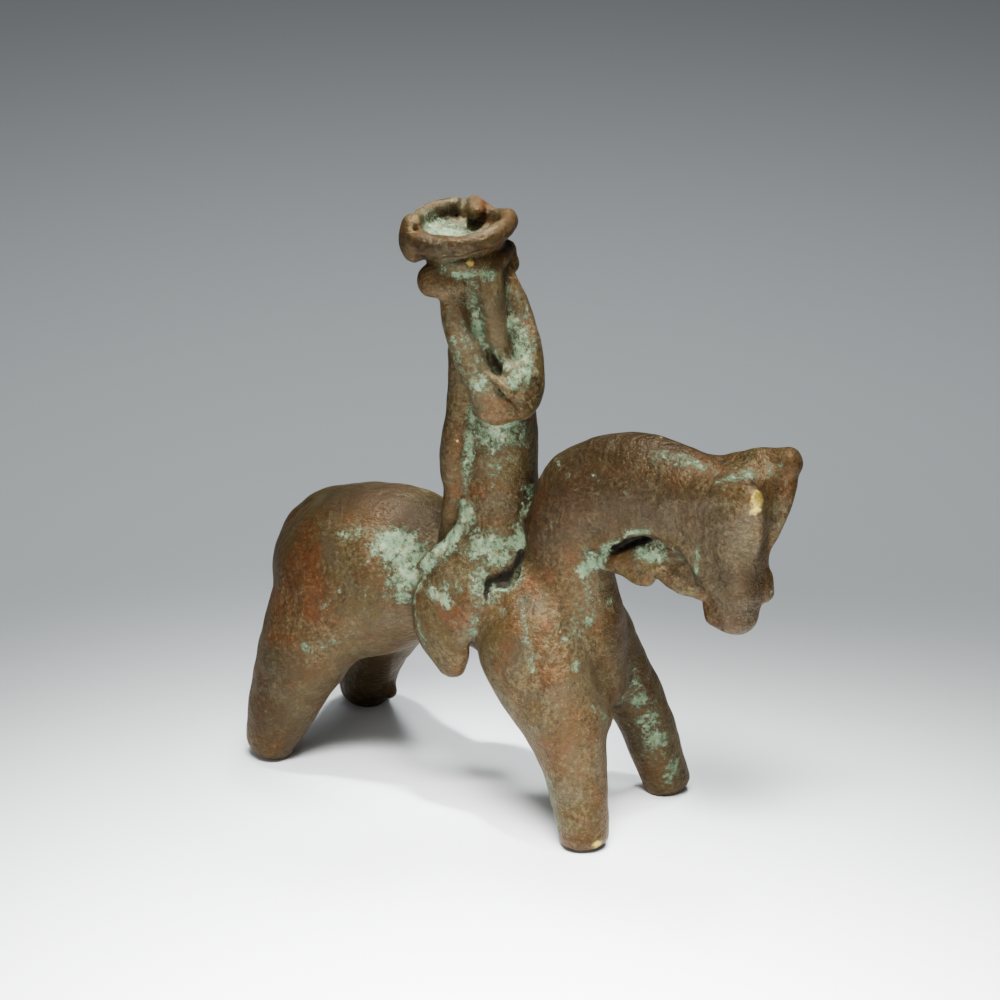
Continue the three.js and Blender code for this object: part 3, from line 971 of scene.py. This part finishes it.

# %% [markdown]
# ## Where the patina lies, with painted light and shade
#
# A patina isn't the same all over. Green salts stay in the hollows and on the rugged places, and
# hands rub the edges back to brown and to bright metal. It could be painted on a texture, but that
# would need an unwrapped mesh and an image. So each point of the mesh carries how hollow and how
# edged the surface is there, and how near it is to the marked places.
#
# A mark is a smear along a line through one or more places, each with x, y, z and the radius at
# which it fades out. Verdigris is the thick green, with two painted highlights on the neck among it,
# and stain is the thin green round it. Ruddy is copper red, and rubbed is bare metal. The pale mark is
# partly a real pale film and partly painted light on the rider's arms and the horse's shoulder and
# foreleg. Deep is a smooth dark brown, the neck's and the head's own, and also painted shade down the
# legs and over the neck top and the rump top. The black in the crack and the slit is painted shade.
# The material breaks them all up.

# %% Measure hollows and edges


def at_points(field):
    """The field's value at each point of the skin."""
    low_cell = np.minimum(points.astype(int), np.array(field.shape) - 2)
    u = points - low_cell
    total = np.zeros(len(points))
    for corner in CORNERS:
        weight = np.prod(np.where(corner, u, 1 - u), axis=1)
        total += weight * field[tuple((low_cell + corner).T)]
    return total


FINE_BLUR = 1.6
BROAD_BLUR = 4.5
DISTANCE_CAP = 3
FULL_FINE = 0.35
FULL_BROAD = 1.2
EDGE_START = 0.12
fine_bend = at_points(blurred(np.clip(wax, -DISTANCE_CAP, DISTANCE_CAP), FINE_BLUR))
broad_bend = at_points(blurred(np.clip(wax, -DISTANCE_CAP, DISTANCE_CAP), BROAD_BLUR))
hollow = np.clip(-fine_bend / FULL_FINE, 0, 1) * 0.6 + np.clip(-broad_bend / FULL_BROAD, 0, 1) * 0.7
edge = np.clip((fine_bend - EDGE_START) / FULL_FINE, 0, 1)
print("hollow", round(hollow.mean(), 3), "edge", round(edge.mean(), 3))

# %% Mark the verdigris and its stain, with two painted highlights on the neck
VERDIGRIS_AND_HIGHLIGHTS = [
    # in the bowl and below it
    [(-6.4, -0.4, 96.6, 5.5), (-2, -0.4, 95.6, 5.5)],
    [(1.8, 2.4, 96.4, 3.4)],
    [(1.6, -6.5, 92.2, 1.2), (4.6, -4.7, 92.1, 1.4), (6.8, -2.1, 92.1, 1.2)],
    # on the strip, the arms and the hands
    [(3.3, -5, 90.3, 1.4), (4.1, -4.7, 86.1, 2), (5.6, -4.9, 81.3, 2), (8, -4.8, 78.7, 1.6),
     (10.3, -5.9, 78.3, 1.4)],
    [(8, -0.3, 82.9, 1.6), (10.2, -1.4, 79.4, 2), (14, -4.3, 76.9, 1.8)],
    [(12.9, -6.5, 76.5, 2)],
    [(7.2, -9, 75.2, 2)],
    # down the rider's body, and on the ridge
    [(5, -5.8, 65.7, 3), (9.4, -4.5, 65.9, 3.6), (11.6, -0.5, 65, 3)],
    [(3.3, -5.7, 69, 1), (3.3, -5.7, 65.2, 1.3), (2.9, -6, 58.1, 1.3), (2.6, -6.8, 53, 1.3)],
    [(3.7, -7.4, 51.4, 1.7), (3.7, -8.6, 48.8, 2.1), (1.5, -10.4, 45.5, 2.2), (-1.8, -11.2, 41.9, 1.8)],
    # at the seat and on the leg
    [(6.2, -7.7, 46.2, 3.2), (9.2, -6.5, 46, 3.8), (11.5, -4.7, 46.8, 3.2)],
    [(7.8, -10, 42, 2), (8.9, -11.6, 38.5, 2)],
    [(10.5, -10.6, 39.9, 2.8), (13.6, -7.8, 42.7, 2.6)],
    [(-2, -11.1, 41.4, 1), (-4.1, -11.6, 35.1, 1), (-2.8, -12.3, 31.8, 1), (-1.4, -12.4, 28.6, 0.9)],
    [(8.7, -12, 36.8, 1.5), (7.6, -11.5, 32, 1.3)],
    [(-0.4, -12, 37.7, 1.6), (2.8, -12.2, 36.8, 1.7)],
    # on the rump
    [(-11, -8.9, 43.3, 4.2), (-7.6, -8.8, 42.3, 4.8), (-6.7, -10.1, 38.5, 4.6), (-7.5, -11, 35.5, 3.4)],
    [(-19, -9.9, 42.6, 2), (-16.5, -9, 43.7, 2)],
    [(-20.4, -14.7, 30.3, 0.6), (-17.2, -13.4, 34.6, 0.6)],
    # on the mane, the ears and the face
    [(37.4, -3.2, 68.6, 2.2), (42.7, -2.6, 68.2, 2.4), (47.9, -1.8, 67.4, 1.4)],
    [(49.8, -4.9, 67.3, 1.2), (52.8, -0.8, 67.9, 1.8), (56.7, 2.1, 68.2, 2)],
    [(46.5, -5.3, 54.5, 1), (46.2, -4.1, 50, 1)],
    [(52.6, -4.9, 56.4, 0.9)],
    # at the throat and on the strap
    [(34.9, -3.4, 51.2, 2), (38.4, -3.8, 51.2, 2.2)],
    [(28.3, -3.9, 49.1, 1.6), (33.4, -4.9, 53.9, 1.3), (37.6, -5.3, 55.7, 1.3)],
    [(24.8, -4, 45, 2.2), (27.6, -4, 47.5, 2.2)],
    # on the chest and the shoulder
    [(27.6, -0.9, 39.2, 1.3)],
    [(26.2, -4.6, 36.6, 1.2)],
    [(24.6, -6, 41.4, 1.1)],
    [(24.6, -9.6, 34.5, 1.2)],
    [(26.9, -10, 30.8, 1.5)],
    # on the legs
    [(29, 6.3, 18.6, 1.8)],
    [(30.2, 7.6, 14.6, 2.2)],
    [(31.5, 8.8, 11, 2)],
    [(33, 10.2, 4.6, 2.4), (32.9, 9.9, 2.8, 2.2)],
    [(-23.6, -16.6, 22.9, 1.7), (-18.6, -15, 24.5, 1.7)],
    [(24.9, -15.9, 11.9, 1.8), (26.7, -15.2, 3.9, 1.6)],
    [(16.2, -9.6, 39.4, 1.1), (18.8, -12.9, 35.4, 1.3), (21.6, -14.4, 30.6, 1.1)],
    # a small spot on the nose, and two painted highlights on the neck: pale dots where it shows small
    # reflections
    [(56.8, 2.4, 47, 1.6)],
    [(21.4, -5.5, 61.5, 0.6)],
    [(27.3, -6, 63.2, 0.6)],
    # on the left side
    [(-24, 8, 40, 6)],
    [(-6, 10, 38, 5)],
    [(8, 6, 46, 5)],
    [(1, 5, 58, 4)],
    [(30, 6, 50, 4)],
]
STAIN = [
    [(6.5, 1.8, 89.7, 2), (8.3, 0.8, 85.6, 2), (8, -0.3, 82.9, 1.8)],
    [(11.2, -1.2, 56, 2.4), (11, -1.4, 50, 3), (11.4, -3, 46, 2.8)],
    [(8, -5, 66, 6), (7, -5, 58, 4)],
    [(8, -8, 44, 7)],
    [(3.7, -7.4, 51.4, 2.6), (1.5, -10.4, 45.5, 3), (-1.8, -11.2, 41.9, 2.6)],
    [(2, -12, 38, 6)],
    [(26, -4, 45, 5), (27, -6, 36, 4)],
    [(29, 6, 20, 7), (32, 9, 8, 5)],
    [(26, -11.5, 23, 4), (31, -7.5, 21.5, 3)],
    [(-9, -9, 41, 8)],
    [(-4, 0, 96.5, 8)],
    [(37, -4, 52, 5)],
    [(11, -6, 76, 5), (13, -2, 79, 4), (9, 1, 86, 3)],
    [(0, -7, 87, 4), (4, -8, 79, 4.5), (8, -8, 72, 3.5)],
    [(1, -7, 93, 3), (5, -4.5, 93, 3)],
]
print(len(VERDIGRIS_AND_HIGHLIGHTS), "smears of verdigris,", len(STAIN), "of stain")

# %% Mark the ruddy copper and the rubbed metal
RUDDY = [
    [(24, -6, 58, 7), (16, -6, 52, 6)],
    [(-26, -11, 34, 9), (-28, -12, 24, 7)],
    [(4, -12, 35.5, 3.6)],
    [(11, -8, 70, 4.5)],
    [(22, 7, 50, 9)],
    [(-20, 12, 32, 9)],
    [(4.6, -7.4, 94, 3)],
    [(-4, 6.6, 100, 2), (-1.6, 3.8, 99, 2.6)],
]
RUBBED = [
    # on the ear, the nose and the chin
    [(58.9, -6, 67.1, 1.9), (57.6, -5.8, 64.6, 1.7)],
    [(56.9, -0.8, 53.6, 0.9), (56.9, -0.7, 51.6, 0.9)],
    # on the rim, the arms and the hands
    [(0.4, -8.6, 95.6, 0.8)],
    [(3.5, -5.9, 94.6, 1.2)],
    [(13.4, -4.6, 82, 0.9), (14.2, -4.8, 79, 1)],
    [(7.8, -6.5, 76.4, 0.7), (12.1, -7.1, 74.4, 0.7)],
    [(12.6, -6, 77.6, 0.7)],
    [(1.8, -7.3, 63.3, 0.7)],
    # on the forefoot, the strap and the mane
    [(34, -13.8, 1.7, 1.7)],
    [(42, -4.6, 45.6, 0.9)],
    [(36, 1, 69.8, 1)],
]
print(len(RUDDY), "ruddy smears,", len(RUBBED), "rubbed")

# %% Mark the pale film and painted light, the deep brown and painted shade, and the crack's painted shade
# A pale film, partly real and partly painted light: it lightens the rider's arms, which the lamps barely
# reach, and lays a painted sheen on the horse's shoulder and foreleg.
PALE_FILM_AND_PAINTED_LIGHT = [
    [(27, -9, 31, 6), (30, -12, 12, 5)],
    [(26, -3, 40, 6)],
    [(3, -7, 84, 7), (9, -3, 80, 7), (8, -7, 72, 6)],
    [(1, -9, 94, 3)],
]
# Deep is a smooth dark brown: partly the own patina of the neck and the head, and partly painted shade,
# over the neck top and the rump top where the lamps shine, and down the legs, most on the far ones.
DEEP_AND_PAINTED_SHADE = [
    # on the neck and the head, their own dark brown, with painted shade over the neck top
    [(17, -5, 50, 8), (22, -7, 58, 9), (32, -7, 60, 9), (42, -5, 60, 8)],
    [(16, -2, 54, 8), (26, -1, 66, 8), (38, -1, 67, 7)],
    [(48, -5, 61, 8), (53, -3, 50, 7), (52, -2, 43, 6)],
    [(40.5, -4, 46.6, 3), (46, -4, 49, 3.4)],
    [(50.8, -3, 66.4, 2.4), (54, -2, 67, 2.4)],
    # painted shade on the rump top, and dark brown on the rim
    [(-24, -3, 45, 6), (-18, -1, 49, 7), (-11, -5, 48, 6), (-6, -4, 46, 7)],
    [(-4, -8.4, 96.8, 2.6), (0, -8.4, 96.6, 2.6), (3.6, -6, 97.6, 2.6)],
    # painted shade down the legs, most on the far legs
    [(-27, -14, 20, 5), (-30, -15, 8, 5)],
    [(-24, 9, 24, 12), (-30, 12, 6, 11)],
    [(24, 7, 22, 6), (27, 8, 12, 5)],
]
# Painted shade: black laid in the crack, its spot and the slit above the strap, where shade falls deep
# inside them.
PAINTED_CRACK_SHADE = [
    [(12.8, -5, 45.2, 1.3), (12.8, -6.6, 43.4, 2), (11.8, -8, 42.2, 2.8), (9.8, -9.8, 41, 2.1)],
    [(10.2, -11.2, 38.8, 0.9), (9.4, -10.2, 39.2, 0.9)],
    [(30.6, -3, 50, 1.8), (33, -3, 52, 2.4), (35.6, -2.8, 53.2, 2)],
]

# %% Carry the marks to the material


def carry(name, values):
    """Store one number for each point of the mesh, for the material to read."""
    mesh.attributes.new(name, "FLOAT", "POINT").data.foreach_set("value", values.astype(np.float32))
    print(name, "mean", round(float(values.mean()), 3))


in_units = (GRID_LOW + CELL * points).T
carry("hollow", hollow)
carry("edge", edge)
marks = {
    "verdigris_and_highlights": VERDIGRIS_AND_HIGHLIGHTS,
    "stain": STAIN,
    "ruddy": RUDDY,
    "rubbed": RUBBED,
    "pale_film_and_painted_light": PALE_FILM_AND_PAINTED_LIGHT,
    "deep": DEEP_AND_PAINTED_SHADE,
    "painted_crack_shade": PAINTED_CRACK_SHADE,
}
for name, smears in marks.items():
    carry(name, near(smears, *in_units))

# %% [markdown]
# ## The bronze
#
# Brown patina is a thin skin over metal: darker than bare bronze, half as glossy, and its highlights
# still have some of the metal's colour. It could be a coat over a metal shader, but the coat's edge
# would show where it is worn through. So one principled shader does it, with brown as its colour and
# a part of metal in it. Where the masks say verdigris it turns pale green, rough and not metal at
# all, and where they say rubbed it turns to bare yellow metal.
#
# The layers lie one over another: brown in cloudy shades, a pale film with painted light and deep
# brown with painted shade, fine specks, verdigris with two painted highlights, and last the rubbed
# edges and the painted shade, black, in the crack and the slit.

# %% Helpers to lay nodes
bronze = bpy.data.materials.new("bronze")
bronze.use_nodes = True
nodes, links = bronze.node_tree.nodes, bronze.node_tree.links
shader = nodes["Principled BSDF"]
place_node = nodes.new("ShaderNodeTexCoord")


def plug(value, socket):
    """Link an output to a socket, or set the socket to a number."""
    if isinstance(value, bpy.types.NodeSocket):
        links.new(value, socket)
    else:
        socket.default_value = value


def maths(operation, a, b=0.0, c=0.0):
    """One step of arithmetic with two or three values."""
    node = nodes.new("ShaderNodeMath")
    node.operation = operation
    for value, socket in zip((a, b, c), node.inputs):
        plug(value, socket)
    return node.outputs[0]


def times(a, b):
    """Two values, multiplied."""
    return maths("MULTIPLY", a, b)


def raised(field, by, amount):
    """The field, raised by this amount of another value."""
    return maths("MULTIPLY_ADD", by, amount, field)


def mottle(size, detail=4.0, seed=0, rough=0.55):
    """Cloudy noise between 0 and 1, with spots of this size in metres."""
    node = nodes.new("ShaderNodeTexNoise")
    node.noise_dimensions = "4D"
    links.new(place_node.outputs["Object"], node.inputs["Vector"])
    for name, value in (("W", seed), ("Scale", 1 / size), ("Detail", detail), ("Roughness", rough)):
        node.inputs[name].default_value = value
    return node.outputs["Fac"]


def step(value, low, high):
    """A soft step from 0 to 1 as the value goes from low to high."""
    node = nodes.new("ShaderNodeMapRange")
    node.interpolation_type = "SMOOTHSTEP"
    plug(value, node.inputs["Value"])
    node.inputs["From Min"].default_value = low
    node.inputs["From Max"].default_value = high
    return node.outputs["Result"]


def carried(name):
    """A number that the mesh's points carry."""
    node = nodes.new("ShaderNodeAttribute")
    node.attribute_name = name
    return node.outputs["Fac"]


def over(mask, below, above):
    """One colour laid over another where the mask is 1."""
    node = nodes.new("ShaderNodeMix")
    node.data_type = "RGBA"
    plug(mask, node.inputs["Factor"])
    for value, socket in ((below, node.inputs[6]), (above, node.inputs[7])):
        plug(value if isinstance(value, bpy.types.NodeSocket) else (*value, 1), socket)
    return node.outputs[2]


# %% Brown, in cloudy shades
DARK_BROWN = (0.012, 0.008, 0.004)
MID_BROWN = (0.044, 0.0215, 0.0066)
OLIVE_BROWN = (0.042, 0.0275, 0.0092)
RUDDY_BROWN = (0.064, 0.021, 0.006)
DULL_GREY = (0.042, 0.035, 0.020)
WORN_BROWN = (0.082, 0.052, 0.018)

specks = mottle(0.0011, seed=2, rough=0.65)
brown = over(step(mottle(0.0060, seed=1), 0.4, 0.6), MID_BROWN, OLIVE_BROWN)
# greyer where the pale film and painted light are marked
grey_mask = step(raised(mottle(0.0035, seed=4), carried("pale_film_and_painted_light"), 0.12), 0.48, 0.66)
brown = over(times(grey_mask, 0.7), brown, DULL_GREY)
ruddy_mask = step(raised(mottle(0.0025, seed=5), carried("ruddy"), 0.22), 0.5, 0.8)
brown = over(ruddy_mask, brown, RUDDY_BROWN)
worn_mask = step(raised(specks, carried("edge"), 0.3), 0.6, 0.85)
brown = over(worn_mask, brown, WORN_BROWN)
dark_mask = step(raised(specks, carried("hollow"), 0.3), 0.5, 0.75)
brown = over(times(dark_mask, 0.75), brown, DARK_BROWN)

# %% A pale film with painted light, deep brown with painted shade, and fine specks over them
PAINTED_LIGHT_AND_FILM_BROWN = (0.094, 0.062, 0.028)
DEEP_AND_SHADE_BROWN = (0.018, 0.0105, 0.0045)
LIGHT_SPECK = (0.110, 0.092, 0.046)

deep = carried("deep")
# a paler brown where the pale film and painted light are marked: real film, and painted light on the
# arms, the shoulder and the foreleg
brown = over(times(carried("pale_film_and_painted_light"), 0.32), brown, PAINTED_LIGHT_AND_FILM_BROWN)
# a deep brown, the neck's and head's own, and painted shade on the legs and over the tops of the neck
# and the rump
brown = over(times(deep, 0.8), brown, DEEP_AND_SHADE_BROWN)
fine = mottle(0.00034, detail=2, seed=9, rough=0.7)
brown = over(times(step(fine, 0.47, 0.38), 0.4), brown, DARK_BROWN)
light_mask = step(raised(fine, mottle(0.0030, seed=10), 0.5), 0.75, 0.95)
light_strength = raised(0.44, deep, -0.2)
brown = over(times(light_mask, light_strength), brown, LIGHT_SPECK)

# %% Verdigris, pale and chalky where it is thick, and teal at its margins
PALE_GREEN = (0.115, 0.180, 0.105)
CHALK = (0.210, 0.255, 0.162)
OCHRE_GREEN = (0.13, 0.12, 0.05)
TEAL = (0.045, 0.068, 0.042)

dust = mottle(0.00035, detail=2, seed=3)
green_field = times(dust, 0.45)
for cause, amount in (
    (mottle(0.0030, seed=12), 0.4),
    (mottle(0.0007, seed=6, rough=0.8), 0.9),
    (carried("hollow"), 0.12),
    # the verdigris mark also carries two painted highlights on the neck
    (carried("verdigris_and_highlights"), 0.20),
    (carried("stain"), 0.12),
):
    green_field = raised(green_field, cause, amount)
teal_mask = step(green_field, 0.97, 1.14)
pale_mask = step(green_field, 1.05, 1.22)
chalky = over(step(mottle(0.0007, detail=3, seed=13), 0.46, 0.62), PALE_GREEN, CHALK)
chalky = over(step(mottle(0.0008, detail=3, seed=14), 0.54, 0.66), chalky, OCHRE_GREEN)
coloured = over(times(teal_mask, 0.75), brown, TEAL)
coloured = over(times(pale_mask, 0.8), coloured, chalky)

# %% Rubbed metal on the edges, and painted shade, black, in the crack and the slit
BARE_METAL = (0.48, 0.35, 0.075)
PAINTED_SHADE_BLACK = (0.006, 0.005, 0.004)

bright_field = raised(times(mottle(0.0005, seed=7), 0.6), carried("rubbed"), 0.5)
bright_field = raised(bright_field, carried("edge"), 0.08)
bright_mask = times(step(bright_field, 0.58, 0.78), 0.85)
coloured = over(bright_mask, coloured, BARE_METAL)
# painted shade: black in the crack and the slit, strongest in their hollows, with no metal there
painted_shade_mask = step(times(carried("painted_crack_shade"), maths("ADD", carried("hollow"), 0.45)), 0.25, 0.5)
coloured = over(painted_shade_mask, coloured, PAINTED_SHADE_BLACK)
links.new(coloured, shader.inputs["Base Color"])

# %% Gloss and relief
BROWN_METAL = 0.38
BROWN_ROUGHNESS = 0.31

still_brown = maths("SUBTRACT", 1.0, teal_mask)
metal = maths("MAXIMUM", times(still_brown, BROWN_METAL), bright_mask)
links.new(times(metal, maths("SUBTRACT", 1.0, painted_shade_mask)), shader.inputs["Metallic"])
roughness = raised(BROWN_ROUGHNESS, specks, 0.25)
roughness = raised(roughness, teal_mask, 0.35)
roughness = raised(roughness, bright_mask, -0.18)
links.new(roughness, shader.inputs["Roughness"])
shader.inputs["Specular IOR Level"].default_value = 0.3
shader.inputs["Specular Tint"].default_value = (0.6, 0.5, 0.4, 1)

grain = nodes.new("ShaderNodeBump")
grain.inputs["Strength"].default_value = 0.8
grain.inputs["Distance"].default_value = 0.0003
pits = mottle(0.0005, detail=3, seed=8, rough=0.7)
height = raised(maths("ADD", pits, times(specks, 0.8)), pale_mask, 0.4)
links.new(height, grain.inputs["Height"])
links.new(grain.outputs["Normal"], shader.inputs["Normal"])
mesh.materials.append(bronze)
print("bronze has", len(nodes), "nodes")

# %% [markdown]
# ## Floor and light
#
# The figure stands on a plain pale floor that runs far back. The photograph's floor is brightest in
# front and fades to grey behind, with soft shadows. One large light can't do that, and neither can an
# even sky. So a key light in front shines down on the near floor and the figure, a weak one behind
# lights the far floor from above, a narrow one straight above reaches into the bowl, one from the
# rear opens the shadow under the belly, and a low, wide fill from the left front softens it all.

# %% Lay the floor
FLOOR_HALF = 3.0
floor_mesh = bpy.data.meshes.new("floor")
floor_corners = [(x * FLOOR_HALF, y * FLOOR_HALF, 0) for x, y in ((-1, -1), (1, -1), (1, 1), (-1, 1))]
floor_mesh.from_pydata(floor_corners, [], [(0, 1, 2, 3)])
floor = bpy.data.objects.new("floor", floor_mesh)
bpy.context.scene.collection.objects.link(floor)
floor_material = bpy.data.materials.new("floor")
floor_material.use_nodes = True
floor_shader = floor_material.node_tree.nodes["Principled BSDF"]
floor_shader.inputs["Base Color"].default_value = (0.72, 0.74, 0.75, 1)
floor_shader.inputs["Roughness"].default_value = 0.9
floor_mesh.materials.append(floor_material)

# %% Set the lights


def area_light(name, place, aim, size, power, colour, spread=180):
    """A soft square light that faces its aim, with its beam this many degrees across."""
    data = bpy.data.lights.new(name, "AREA")
    data.shape = "SQUARE"
    data.size = size
    data.energy = power
    data.color = colour
    data.spread = math.radians(spread)
    light = bpy.data.objects.new(name, data)
    light.location = place
    light.rotation_mode = "QUATERNION"
    light.rotation_quaternion = (Vector(place) - Vector(aim)).to_track_quat("Z", "Y")
    bpy.context.scene.collection.objects.link(light)
    print(name, "light", power, "W")


WARM_WHITE = (1.0, 1.0, 0.97)
COOL_WHITE = (0.97, 1.0, 1.0)
SKY_WHITE = (0.93, 0.98, 1.0)
FILL_WHITE = (0.97, 0.99, 1.0)
BOWL_PLACE = (-0.0065, 0, HEIGHT)
NEAR_FLOOR = (0.0435, -0.0645, 0)
BELLY_FLOOR = (0, -0.022, 0)

area_light("key", (0.056, -0.083, 0.155), NEAR_FLOOR, 0.10, 0.60, WARM_WHITE, spread=47.5)
area_light("top", (-0.028, 0.041, 0.30), (-0.028, 0.042, 0), 0.20, 0.085, SKY_WHITE, spread=60)
area_light("crown", (-0.004, 0.004, 0.25), BOWL_PLACE, 0.02, 0.009, COOL_WHITE, spread=8)
area_light("rear", (-0.01, 0.07, 0.22), BELLY_FLOOR, 0.06, 0.023, COOL_WHITE, spread=20)
area_light("fill", (0.0, -0.44, 0.10), CAMERA_TARGET, 0.30, 1.0, FILL_WHITE)

world = bpy.data.worlds.new("world")
world.use_nodes = True
world.node_tree.nodes["Background"].inputs["Color"].default_value = (0.94, 0.96, 1.0, 1)
world.node_tree.nodes["Background"].inputs["Strength"].default_value = 0.11
bpy.context.scene.world = world
